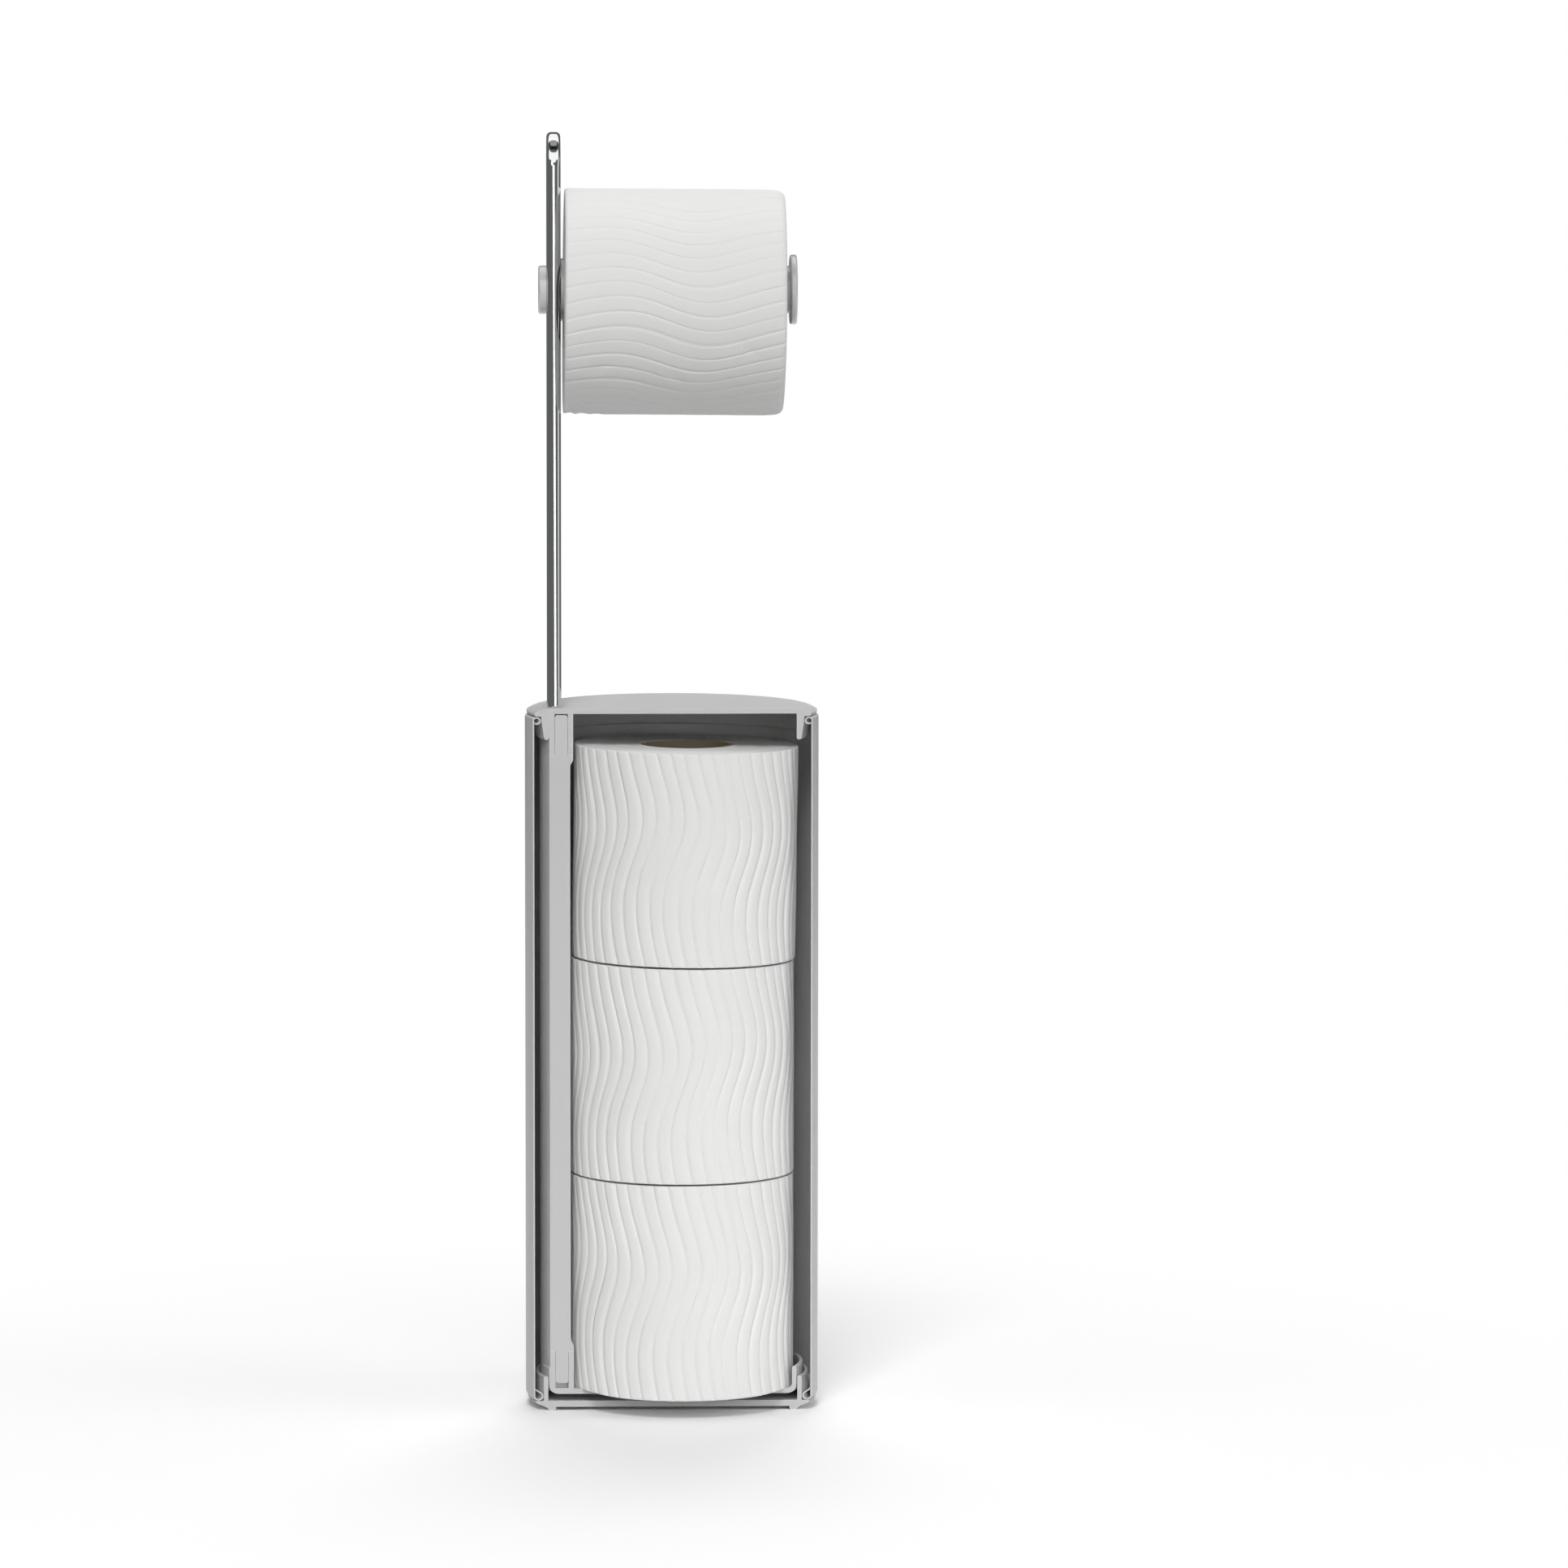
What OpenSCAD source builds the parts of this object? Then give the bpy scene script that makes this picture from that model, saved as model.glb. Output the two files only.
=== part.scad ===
// Floor-standing toilet roll holder with a store for spare rolls, shown with its front cut away.
// The round housing stands on the floor. A carrier of lid, post and tray hangs in it by the lid
// and lifts out with the spare rolls. A wire loop on the lid is the handle and carries the arm
// for the roll in use.
// The origin is on the floor, on the housing's axis. +Z is up, and the arm points along +X.

/* [Rolls] */
// Diameter of a full roll
roll_d = 104.2; // [92:0.2:112]
// Height of a stored roll
roll_h = 100; // [85:1:120]
// Rounding of a roll's outer edges
roll_edge_r = 3; // [1:0.5:6]
// Outside diameter of the cardboard core
core_d = 43; // [40:0.5:48]
// Wall of the cardboard core
core_t = 1; // [0.6:0.1:1.6]
// Rolls in the stack
rolls_stored = 3; // [1:1:4]
// Width of the roll in use, which is wound a little looser
open_roll_w = 101; // [85:1:120]

/* [Housing shell] */
// Thickness of the shell's sheet
shell_t = 0.6; // [0.4:0.1:0.8]
// Outside diameter of the rolled edge at the shell's top
top_curl_d = 3.5; // [3:0.1:4.2]
// Outside diameter of the rolled edge at the shell's foot
foot_curl_d = 4.2; // [3.8:0.1:5]
// Slope at which the foot's rolled edge runs back to the wall
foot_curl_slope = 34; // [20:1:50]
// Gap between the end of a rolled edge and the wall it turns back to
curl_slit = 0.25; // [0.1:0.05:0.4]
// Distance of the display cut in front of the axis, where 90 leaves the front whole
cut_front = 21.6; // [20:0.2:90]

/* [Base] */
// Height of the foot ring below the base plate
foot_h = 1.6; // [1.2:0.1:4]
// Width of the flat face that the foot ring stands on
foot_face_w = 1.8; // [1.2:0.1:4]
// Thickness of the base plate
base_t = 2.8; // [2:0.1:5]
// Wall of the ring that holds the shell and guides the tray
ring_t = 1.8; // [1.2:0.1:2.6]
// Height of that ring above the base plate
ring_h = 11.6; // [8:0.2:16]
// Width of the flange that the shell stands on
flange_w = 3.5; // [2.5:0.1:4]
// Thickness of the flange at its outer edge
flange_edge_t = 1.1; // [0.8:0.1:1.8]

/* [Tray] */
// Height of the tray's underside above the base plate
tray_lift = 3.3; // [1:0.1:8]
// Thickness of the tray's floor
tray_t = 2.3; // [1.6:0.1:4]
// Wall of the tray's rim
tray_wall = 1.8; // [1.2:0.1:3]
// Height of the tray's rim above its floor
tray_rim_h = 10.5; // [6:0.5:16]
// Rounding of the tray's lower edge
tray_edge_r = 4; // [3:0.5:6]
// Height of the socket for the post above the tray's floor
socket_h = 17.6; // [14:0.2:30]

/* [Post] */
// Depth of the post from its curved back to its flat face
post_depth = 13.9; // [13:0.1:18]
// Width of the post
post_w = 50; // [48:1:64]
// Rounding of the post's upright edges
post_edge_r = 3; // [1:0.5:4]
// Wall behind the post's flat face
post_face_t = 2; // [1.5:0.1:2.4]
// Radius of the post's curved back, which touches the tray's outline in the middle
post_back_r = 55; // [52:0.5:60]
// Wall of the post's curved back
post_back_t = 1.2; // [0.8:0.1:1.3]
// Width of the channel inside the post
channel_w = 35; // [34:0.5:37]
// How far the collars at the post's ends stand out towards the rolls
collar_step = 1.4; // [0.6:0.1:2]
// Height of the straight part of a collar
collar_h = 2.4; // [1:0.1:6]
// Height of the slope from a collar to the post's face
collar_slope_h = 2.6; // [1:0.1:6]
// Thickness of the tongues at the post's ends
tongue_t = 5.8; // [4:0.1:7]
// Width of a tongue
tongue_w = 5.6; // [4:0.1:5.8]
// Wall between a tongue and the collar's face
tongue_cover = 2.6; // [2:0.1:3]
// Chamfer at a tongue's tip
tongue_tip = 0.8; // [0.4:0.1:1.2]
// Gap past the tip of an upper tongue
upper_tip_gap = 0.6; // [0.3:0.1:3]
// Gap past the tip of a lower tongue
lower_tip_gap = 2.5; // [0.3:0.1:5]

/* [Lid] */
// Free height between the stack and the lid
headroom = 14; // [8:0.5:40]
// Thickness of the lid's plate
lid_t = 2.4; // [1.8:0.1:4]
// How far the lid's rim drops below the plate's underside
lid_rim_drop = 1.2; // [0.6:0.1:2]
// How far the lid's rim stays inside the shell's outer face
lid_setback = 0.8; // [0:0.1:2]
// Radius of the curve that eases the lid's top down to its rim
lid_crown_r = 12; // [10:0.5:40]
// Width of that curve
lid_crown_w = 6.9; // [5:0.1:7]
// Rounding under the lid's rim
lid_nose_r = 1; // [0.4:0.1:1.2]
// Depth of the skirt below the plate
skirt_h = 12; // [8:0.5:16]
// Wall of the skirt at its tip
skirt_tip_t = 2; // [1.2:0.1:2.4]
// Depth of the boss that takes the post and the wire loop, below the plate
boss_h = 18.9; // [16:0.1:30]

/* [Wire loop] */
// Width of the bar across the loop's flat side
bar_w = 6.4; // [5:0.1:7]
// Thickness of the bar in the loop's plane
bar_t = 5.8; // [4.6:0.1:6.2]
// Rounding of the bar's long edges
bar_edge_r = 2.1; // [1:0.1:2.2]
// Distance of a leg's centre line from the loop's middle
leg_y = 12; // [11.6:0.1:12.4]
// Distance of the legs behind the middle of the post's depth
leg_back = 0.2; // [-0.4:0.1:0.3]
// Height of the loop's top above the arm's axis
loop_head = 72.4; // [40:0.2:120]
// Depth to which a leg is let into the lid and boss
leg_seat = 6.4; // [4:0.2:12]
// Diameter of the threaded end below a leg
stud_d = 4; // [3:0.1:4.4]

/* [Arm] */
// Height of the arm's axis above the lid
arm_rise = 191.6; // [110:0.2:260]
// Diameter of the barrel that the roll turns on
barrel_d = 28.8; // [24:0.2:32]
// Wall of the hollow barrel
barrel_wall = 2.2; // [1.4:0.1:3.5]
// Thickness of the barrel's closed end
barrel_end_t = 6; // [4:0.5:12]
// Diameter of the plug that fills the gap between the loop's legs
spigot_d = 17.8; // [12:0.2:18]
// Diameter of the back cap
cap_d = 22.2; // [20:0.1:30]
// Thickness of the back cap
cap_t = 3.6; // [3:0.1:8]
// Rounding of the back cap's rim
cap_edge_r = 1.1; // [0.4:0.1:1.8]
// Diameter of the clamp stud
clamp_d = 6; // [4:0.5:8]
// Depth of the clamp stud in the back cap
clamp_in_cap = 2.4; // [1.5:0.1:2.8]
// Diameter of the neck before the end disc
neck_d = 21.8; // [14:0.2:23]
// Diameter of the end disc
disc_d = 32.1; // [28:0.1:40]
// Thickness of the end disc
disc_t = 3.2; // [2.5:0.1:6]
// Rounding of the end disc's rim
disc_edge_r = 1; // [0.4:0.1:1.2]
// Length of the end disc's plug in the barrel
plug_l = 12; // [6:0.5:30]

/* [Clearances] */
// Gap round pieces that are fitted into each other
fit_gap = 0.15; // [0.05:0.05:0.25]
// Gap between pieces that move past or are lifted off each other
run_gap = 0.3; // [0.2:0.05:0.5]
// Gap between the tray and the base's ring
tray_gap = 0.5; // [0.3:0.1:1]
// Gap between the stack and the tray's rim, opposite the post
roll_side_gap = 0.7; // [0.4:0.1:3]
// Gap between the barrel's top and the core that hangs on it
hang_gap = 0.5; // [0.2:0.1:0.8]
// Gap between the loop's legs and the roll in use
roll_loop_gap = 1.5; // [0.5:0.1:5]
// Gap between the roll in use and the end disc
roll_disc_gap = 3; // [1:0.1:10]

/* [Hidden] */
$fn = 96;
eps = 0.01;
arc_step = 15;

// Plan of the carrier: the post, a roll and the tray's rim lie side by side on the X axis
roll_r = roll_d / 2;
core_r = core_d / 2;
tray_r = (post_depth + collar_step + run_gap + roll_d + roll_side_gap + tray_wall) / 2;
face_x = -(tray_r - post_depth);
collar_x = face_x + collar_step;
stack_x = collar_x + run_gap + roll_r;

// Plan of the housing, from the tray outwards
ring_in_r = tray_r + tray_gap;
ring_out_r = ring_in_r + ring_t;
housing_r = ring_out_r + run_gap + foot_curl_d;
foot_r = ring_in_r - foot_face_w / 2 - foot_h / 2;

// Heights from the floor up
base_z = foot_h + base_t;
flange_root_z = 0.65 * foot_h;
flange_nose = 0.3;
tray_z = base_z + tray_lift;
floor_z = tray_z + tray_t;
socket_z = floor_z + socket_h;
lid_z = floor_z + rolls_stored * roll_h + headroom;
lid_top_z = lid_z + lid_t;
rim_z = lid_z - lid_rim_drop;
boss_z = lid_z - boss_h;
shell_z = base_z + fit_gap;
shell_top_z = rim_z - run_gap;

// The lid's outer parts
lid_r = housing_r - lid_setback;
skirt_in_r = tray_r - fit_gap;
skirt_root_r = housing_r - top_curl_d - run_gap;

// The post's tongues sit in pockets of the tray and of the lid's boss. The upper pockets end at
// the lid's plate, and the lower ones leave this much of the socket above the tray's floor.
pocket_floor = 0.3;
tongue_x = collar_x - tongue_cover - tongue_t / 2;
tongue_y = (channel_w + post_w) / 4;
channel_face_x = face_x - post_face_t;

// The wire loop and its fasteners
loop_x = -(tray_r - post_depth / 2 + leg_back);
arm_z = lid_top_z + arm_rise;
bend_z = arm_z + loop_head - leg_y - bar_t / 2;
leg_foot_z = lid_top_z - leg_seat;
nut_flat = 1.75 * stud_d;
nut_h = 0.8 * stud_d;
nut_flange_d = 1.9 * stud_d;
nut_flange_t = 0.8;
stud_tip = 1.5;
bar_out_x = loop_x - bar_w / 2;
bar_in_x = loop_x + bar_w / 2;

// The arm, from the back cap to the end disc
barrel_r = barrel_d / 2;
bore_r = barrel_r - barrel_wall;
open_roll_x = bar_in_x + roll_loop_gap;
barrel_x = bar_in_x + fit_gap;
barrel_end_x = open_roll_x + open_roll_w;
disc_x = barrel_end_x + roll_disc_gap;
cap_x = bar_out_x - fit_gap - cap_t;
open_roll_z = arm_z + barrel_r + hang_gap - (core_r - core_t);

housing_colour = [0.74, 0.74, 0.75];
moulding_colour = [0.78, 0.78, 0.78];
chrome_colour = [0.55, 0.56, 0.58];
satin_colour = [0.72, 0.72, 0.72];
tissue_colour = [0.93, 0.93, 0.92];
core_colour = [0.45, 0.36, 0.28];
steel_colour = [0.6, 0.6, 0.62];

function numbered(name) = [for (i = [1:rolls_stored]) str(name, "_", i)];

// Takes the front of the housing and its fittings away, as in a display model
module cutaway() {
    reach = 2 * housing_r;
    difference() {
        children();
        translate([-reach, -cut_front - reach, -reach])
            cube([2 * reach, reach, lid_top_z + 2 * reach]);
    }
}

// A bar's section with rounded corners, centred on the origin
module rounded_bar(w, t, r) {
    square([w - 2 * r, t], center = true);
    square([w, t - 2 * r], center = true);
    for (x = [-1, 1], y = [-1, 1])
        translate([x * (w / 2 - r), y * (t / 2 - r)])
            circle(r);
}

// Half section of a shallow cup that is solid up to its top, with its lower edge rounded
module cup_section(r, z0, z1, edge_r) {
    translate([0, z0]) square([r - edge_r, z1 - z0]);
    translate([0, z0 + edge_r]) square([r, z1 - z0 - edge_r]);
    translate([r - edge_r, z0 + edge_r]) circle(edge_r);
}

// Plan of the post's outline: a flat face at x_face, rounded at its two corners, and a curved back
// of radius back_r whose middle lies at x_back
module rail_plan(x_face, x_back, half_w, back_r, edge_r) {
    intersection() {
        translate([x_back + back_r, 0]) circle(back_r);
        union() {
            translate([x_back - 1, -half_w])
                square([x_face - edge_r - x_back + 1, 2 * half_w]);
            translate([x_back - 1, -half_w + edge_r])
                square([x_face - x_back + 1, 2 * (half_w - edge_r)]);
            for (s = [-1, 1])
                translate([x_face - edge_r, s * (half_w - edge_r)])
                    circle(edge_r);
        }
    }
}

// The full outline shared by the post's ends, the tray's socket and the lid's boss
module rail_outline() {
    rail_plan(collar_x, -tray_r, post_w / 2, post_back_r, post_edge_r);
}

// Plan of both tongues, or of their pockets when grown by the fitting gap
module tongue_plan(gap = 0) {
    for (s = [-1, 1])
        translate([tongue_x, s * tongue_y])
            square([tongue_t + 2 * gap, tongue_w + 2 * gap], center = true);
}

// Both tongues from z0 up by h, with all four edges of the tip chamfered at the top
module tongues(h) {
    linear_extrude(h - tongue_tip) tongue_plan();
    for (s = [-1, 1])
        translate([tongue_x, s * tongue_y, h - tongue_tip])
            intersection() {
                tip_wedge(tongue_t, tongue_w);
                rotate([0, 0, 90]) tip_wedge(tongue_w, tongue_t);
            }
}

// A bar of section w with its two upper long edges chamfered, long enough for a width of l
module tip_wedge(w, l) {
    half = w / 2;
    rotate([90, 0, 0])
        translate([0, 0, -l / 2])
            linear_extrude(l)
                polygon([
                    [-half, -eps], [half, -eps], [half, 0], [half - tongue_tip, tongue_tip],
                    [-half + tongue_tip, tongue_tip], [-half, 0]
                ]);
}

// Points on an arc about c, from angle a0 to a1
function arc(c, r, a0, a1) =
    let (steps = ceil(abs(a1 - a0) / arc_step))
    [for (i = [0:steps]) c + r * [cos(a0 + (a1 - a0) * i / steps), sin(a0 + (a1 - a0) * i / steps)]];

// One side of the sheet in half section, inset from the outer face. It runs from the end of the
// top's round edge down the wall to the end of the foot's edge, which turns back at a slope.
function sheet_side(inset) =
    let (
        end_x = housing_r - shell_t - curl_slit,
        top_r = top_curl_d / 2,
        foot_r = foot_curl_d / 2,
        top_c = [housing_r - top_r, shell_top_z - top_r],
        foot_c = [housing_r - foot_r, shell_z + foot_r],
        top_end = acos((end_x - top_c[0]) / (top_r - inset)) - 360,
        foot_end = foot_curl_slope - 270,
        leave = foot_c + (foot_r - inset) * [cos(foot_end), sin(foot_end)]
    )
    concat(
        arc(top_c, top_r - inset, -top_end, 0),
        arc(foot_c, foot_r - inset, 0, foot_end),
        [[end_x, leave[1] + (end_x - leave[0]) * tan(foot_curl_slope)]]
    );

function reversed(list) = [for (i = [1:len(list)]) list[len(list) - i]];

module housing_shell_section() {
    polygon(concat(sheet_side(0), reversed(sheet_side(shell_t))));
}

module housing_shell() {
    color(housing_colour)
        cutaway()
            rotate_extrude() housing_shell_section();
}

// Section of the base: foot ring, plate, ring for the shell, and the flange under the shell
module base_section() {
    foot_round = foot_h / 2;
    foot_in_r = foot_r - foot_face_w / 2;
    flange_r = ring_out_r + flange_w;
    ring_tip = ring_t / 2;
    translate([0, foot_h]) square([foot_r, base_t]);
    translate([foot_in_r, 0]) square([foot_face_w, base_z]);
    for (r = [foot_in_r, foot_in_r + foot_face_w])
        translate([r, foot_round]) circle(foot_round);
    translate([foot_in_r - foot_round, foot_round])
        square([foot_face_w + foot_h, foot_h]);
    translate([ring_in_r, base_z - flange_edge_t]) square([ring_t, flange_edge_t + ring_h - ring_tip]);
    translate([ring_in_r + ring_tip, base_z + ring_h - ring_tip]) circle(ring_tip);
    polygon([
        [foot_r, base_z - base_t / 2], [foot_r, flange_root_z],
        [foot_in_r + foot_face_w + foot_round, flange_root_z],
        [flange_r - flange_nose, base_z - flange_edge_t],
        [flange_r, base_z - flange_edge_t / 2],
        [flange_r - flange_nose, base_z],
        [foot_r, base_z]
    ]);
}

module base_moulding() {
    color(moulding_colour)
        cutaway()
            rotate_extrude() base_section();
}

// Section of the lid: plate with an eased edge, rim over the shell, and a tapered skirt
module lid_section() {
    crown_in_r = lid_r - lid_crown_w;
    tip_r = skirt_tip_t / 2;
    tip_z = lid_z - skirt_h + tip_r;
    translate([0, lid_z]) square([crown_in_r, lid_t]);
    intersection() {
        translate([crown_in_r, lid_top_z - lid_crown_r]) circle(lid_crown_r);
        union() {
            translate([crown_in_r - 1, lid_z]) square([1 + lid_crown_w, lid_t]);
            translate([skirt_in_r, rim_z]) square([lid_r - lid_nose_r - skirt_in_r, lid_t]);
            translate([skirt_in_r, rim_z + lid_nose_r]) square([lid_r - skirt_in_r, lid_t]);
            translate([lid_r - lid_nose_r, rim_z + lid_nose_r]) circle(lid_nose_r);
        }
    }
    polygon([
        [skirt_in_r, tip_z], [skirt_in_r + skirt_tip_t, tip_z],
        [skirt_root_r, shell_top_z - top_curl_d / 2], [skirt_root_r, rim_z + eps],
        [skirt_in_r, rim_z + eps]
    ]);
    translate([skirt_in_r + tip_r, tip_z]) circle(tip_r);
}

module lid() {
    color(moulding_colour)
        cutaway()
            difference() {
                union() {
                    rotate_extrude() lid_section();
                    translate([0, 0, boss_z])
                        linear_extrude(boss_h + lid_t / 2) rail_outline();
                    translate([0, 0, lid_z - skirt_h + skirt_tip_t / 2])
                        linear_extrude(skirt_h)
                            rail_plan(collar_x, -tray_r, post_w / 2, tray_r, post_edge_r);
                }
                translate([0, 0, boss_z - eps])
                    linear_extrude(boss_h + eps) tongue_plan(fit_gap);
                for (s = [-1, 1])
                    translate([loop_x, s * leg_y, 0]) {
                        translate([0, 0, leg_foot_z])
                            linear_extrude(leg_seat + 1)
                                rounded_bar(bar_w + 2 * fit_gap, bar_t + 2 * fit_gap, bar_edge_r);
                        translate([0, 0, boss_z - 1])
                            cylinder(d = stud_d + 2 * fit_gap, h = boss_h);
                    }
            }
}

// Section of the tray's rim and floor
module tray_section() {
    in_r = tray_r - tray_wall;
    in_edge_r = tray_edge_r - tray_wall;
    top_z = floor_z + tray_rim_h;
    difference() {
        cup_section(tray_r, tray_z, top_z - tray_wall / 2, tray_edge_r);
        cup_section(in_r, floor_z, top_z, in_edge_r);
    }
    translate([in_r + tray_wall / 2, top_z - tray_wall / 2]) circle(tray_wall / 2);
}

module tray() {
    pocket_z = floor_z + pocket_floor;
    color(moulding_colour)
        cutaway()
            difference() {
                union() {
                    rotate_extrude() tray_section();
                    intersection() {
                        translate([0, 0, tray_z])
                            linear_extrude(socket_z - tray_z) rail_outline();
                        rotate_extrude() cup_section(tray_r, tray_z, socket_z + 1, tray_edge_r);
                    }
                }
                translate([0, 0, pocket_z])
                    linear_extrude(socket_z - pocket_z + 1) tongue_plan(fit_gap);
            }
}

// What is cut from the post between its collars, drawn as a trapezium and run across the post
module face_relief() {
    low_z = socket_z + collar_h;
    top_z = boss_z - collar_h;
    translate([0, post_w, 0])
        rotate([90, 0, 0])
            linear_extrude(2 * post_w)
                polygon([
                    [collar_x + eps, low_z], [collar_x, low_z],
                    [face_x, low_z + collar_slope_h], [face_x, top_z - collar_slope_h],
                    [collar_x, top_z], [collar_x + eps, top_z]
                ]);
}

module carrier_post() {
    upper_l = boss_h - upper_tip_gap;
    lower_l = socket_h - pocket_floor - lower_tip_gap;
    color(moulding_colour)
        cutaway() {
            difference() {
                translate([0, 0, socket_z])
                    linear_extrude(boss_z - socket_z) rail_outline();
                face_relief();
                translate([0, 0, socket_z - 1])
                    linear_extrude(boss_z - socket_z + 2)
                        rail_plan(
                            channel_face_x, post_back_t - tray_r,
                            channel_w / 2, post_back_r - post_back_t, 1
                        );
            }
            translate([0, 0, boss_z]) tongues(upper_l);
            translate([0, 0, socket_z]) mirror([0, 0, 1]) tongues(lower_l);
        }
}

module wire_loop() {
    color(chrome_colour)
        translate([loop_x, 0, 0]) {
            for (s = [-1, 1])
                translate([0, s * leg_y, 0]) {
                    translate([0, 0, leg_foot_z])
                        linear_extrude(bend_z - leg_foot_z)
                            rounded_bar(bar_w, bar_t, bar_edge_r);
                    translate([0, 0, boss_z - nut_flange_t - nut_h - stud_tip])
                        cylinder(d = stud_d, h = leg_foot_z - boss_z + nut_flange_t + nut_h + stud_tip);
                }
            translate([0, 0, bend_z])
                rotate([90, 0, 90])
                    rotate_extrude(angle = 180)
                        translate([leg_y, 0]) rounded_bar(bar_t, bar_w, bar_edge_r);
        }
}

// A hexagon nut on its own flange, turned so that two flats face along X
module flange_nut() {
    corner_d = nut_flat / cos(30);
    difference() {
        union() {
            cylinder(d = nut_flange_d, h = nut_flange_t);
            translate([0, 0, nut_flange_t])
                rotate([0, 0, 30]) cylinder(d = corner_d, h = nut_h, $fn = 6);
        }
        translate([0, 0, -1])
            cylinder(d = stud_d + eps, h = nut_h + nut_flange_t + 2);
    }
}

module loop_nuts() {
    color(steel_colour)
        for (s = [-1, 1])
            translate([loop_x, s * leg_y, boss_z])
                mirror([0, 0, 1]) flange_nut();
}

// Puts a half section that is drawn along Y, with radius along X, on the arm's axis at x
module on_arm(x = 0) {
    translate([x, 0, arm_z])
        rotate([0, 90, 0])
            rotate_extrude() children();
}

module arm_barrel() {
    spigot_l = barrel_x - bar_out_x;
    clamp_r = clamp_d / 2 + fit_gap / 2;
    color(satin_colour)
        on_arm(barrel_x)
            difference() {
                union() {
                    square([barrel_r, barrel_end_x - barrel_x]);
                    translate([0, -spigot_l]) square([spigot_d / 2, spigot_l + 1]);
                }
                translate([0, barrel_end_t])
                    square([bore_r, barrel_end_x - barrel_x]);
                translate([0, -spigot_l - 1]) square([clamp_r, spigot_l + barrel_end_t + 2]);
            }
}

module arm_back_cap() {
    r = cap_d / 2;
    color(satin_colour)
        on_arm(cap_x)
            difference() {
                union() {
                    translate([0, cap_edge_r]) square([r, cap_t - cap_edge_r]);
                    square([r - cap_edge_r, cap_t]);
                    translate([r - cap_edge_r, cap_edge_r]) circle(cap_edge_r);
                }
                translate([0, cap_t - clamp_in_cap - fit_gap])
                    square([clamp_d / 2 + fit_gap / 2, cap_t]);
            }
}

module arm_clamp_stud() {
    stud_x = bar_out_x - fit_gap - clamp_in_cap;
    color(steel_colour)
        on_arm(stud_x)
            square([clamp_d / 2, barrel_x + barrel_end_t - stud_x]);
}

module arm_end_disc() {
    r = disc_d / 2;
    neck_l = disc_x - barrel_end_x;
    color(satin_colour)
        on_arm(disc_x) {
            translate([0, disc_edge_r]) square([r, disc_t - 2 * disc_edge_r]);
            square([r - disc_edge_r, disc_t]);
            for (z = [disc_edge_r, disc_t - disc_edge_r])
                translate([r - disc_edge_r, z]) circle(disc_edge_r);
            translate([0, -neck_l]) square([neck_d / 2, neck_l + 1]);
            translate([0, -neck_l - plug_l]) square([bore_r - fit_gap / 3, plug_l]);
        }
}

// A roll's paper as a thick tube from z = 0 to w, eased at its outer edges
module paper(w) {
    color(tissue_colour)
        rotate_extrude()
            difference() {
                union() {
                    square([roll_r - roll_edge_r, w]);
                    translate([0, roll_edge_r]) square([roll_r, w - 2 * roll_edge_r]);
                    for (z = [roll_edge_r, w - roll_edge_r])
                        translate([roll_r - roll_edge_r, z]) circle(roll_edge_r);
                }
                translate([0, -1]) square([core_r, w + 2]);
            }
}

module core(w) {
    color(core_colour)
        rotate_extrude()
            translate([core_r - core_t, 0]) square([core_t, w]);
}

// Places a roll's piece in the stack, counted from the tray up
module in_stack(i) {
    translate([stack_x, 0, floor_z + (i - 1) * roll_h]) children();
}

// Places a roll's piece on the arm, hanging by its core
module hung_on_arm() {
    translate([open_roll_x, 0, open_roll_z])
        rotate([0, 90, 0]) children();
}

housing_shell();
base_moulding();
lid();
carrier_post();
tray();
wire_loop();
loop_nuts();
arm_barrel();
arm_back_cap();
arm_clamp_stud();
arm_end_disc();
for (i = [1:rolls_stored]) {
    in_stack(i) paper(roll_h);
    in_stack(i) core(roll_h);
}
hung_on_arm() paper(open_roll_w);  // open_roll
hung_on_arm() core(open_roll_w);  // open_core
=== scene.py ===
"""Toilet roll storage holder: finishes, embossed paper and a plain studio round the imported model."""

import math
from typing import NamedTuple

import bpy
import numpy as np
from bpy.props import (
    FloatProperty,
    FloatVectorProperty,
    IntProperty,
    PointerProperty,
)
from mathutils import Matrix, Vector, noise


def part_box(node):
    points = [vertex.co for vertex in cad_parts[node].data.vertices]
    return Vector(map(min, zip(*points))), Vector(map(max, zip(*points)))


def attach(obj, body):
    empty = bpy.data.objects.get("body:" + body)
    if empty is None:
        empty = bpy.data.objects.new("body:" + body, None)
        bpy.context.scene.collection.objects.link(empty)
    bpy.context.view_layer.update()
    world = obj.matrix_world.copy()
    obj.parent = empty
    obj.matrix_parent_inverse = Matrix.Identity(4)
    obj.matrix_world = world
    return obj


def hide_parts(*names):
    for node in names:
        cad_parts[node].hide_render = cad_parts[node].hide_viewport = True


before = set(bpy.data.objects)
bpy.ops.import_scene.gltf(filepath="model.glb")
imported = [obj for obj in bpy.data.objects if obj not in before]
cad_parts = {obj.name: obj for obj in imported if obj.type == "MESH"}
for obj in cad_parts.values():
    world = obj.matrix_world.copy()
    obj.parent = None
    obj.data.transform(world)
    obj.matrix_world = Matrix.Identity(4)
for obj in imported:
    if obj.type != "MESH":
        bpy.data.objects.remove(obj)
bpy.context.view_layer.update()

bl_info = {
    "name": "Toilet Roll Holder",
    "version": (1, 0, 0),
    "blender": (4, 5, 0),
    "location": "3D View > Sidebar > Roll Holder",
    "description": "Finishes, embossed paper rolls and a plain studio for a toilet roll holder",
    "category": "Object",
}

MM = 0.001
NEAR = 0.01 * MM
WHITE = (1, 1, 1)

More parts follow.
